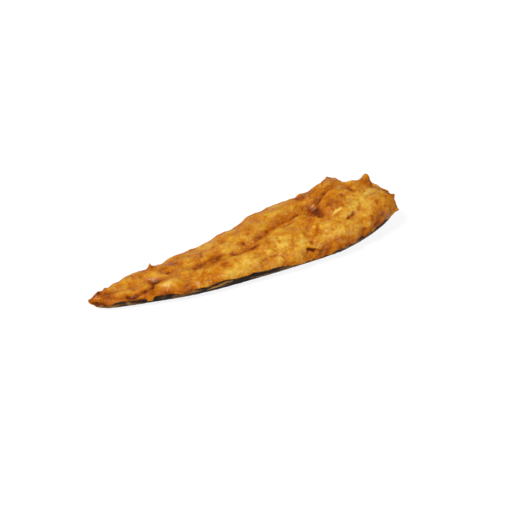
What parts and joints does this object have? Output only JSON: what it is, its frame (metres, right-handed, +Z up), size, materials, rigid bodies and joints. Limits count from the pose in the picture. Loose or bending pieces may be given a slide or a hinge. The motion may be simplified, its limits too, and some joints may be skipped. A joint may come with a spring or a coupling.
{
  "type": "fried fish fillet",
  "caption": "Long tapered fried fish fillet lying on its dark skin, with a rough golden crust, a seam along its top and a thick head end.",
  "frame": {"origin": "on the surface that the fillet lies on, under the middle of its box", "axes": "+X from the thin tail end to the thick head end, +Y from the near loin to the far flap, +Z up from the skin to the crust"},
  "size_m": [0.1754, 0.0508, 0.0254],
  "materials": {
    "crust": "golden brown fried fish with a thin oily crust, over dark blue-grey skin"
  },
  "bodies": {
    "root": {"fillet": "crust"}
  },
  "joints": []
}
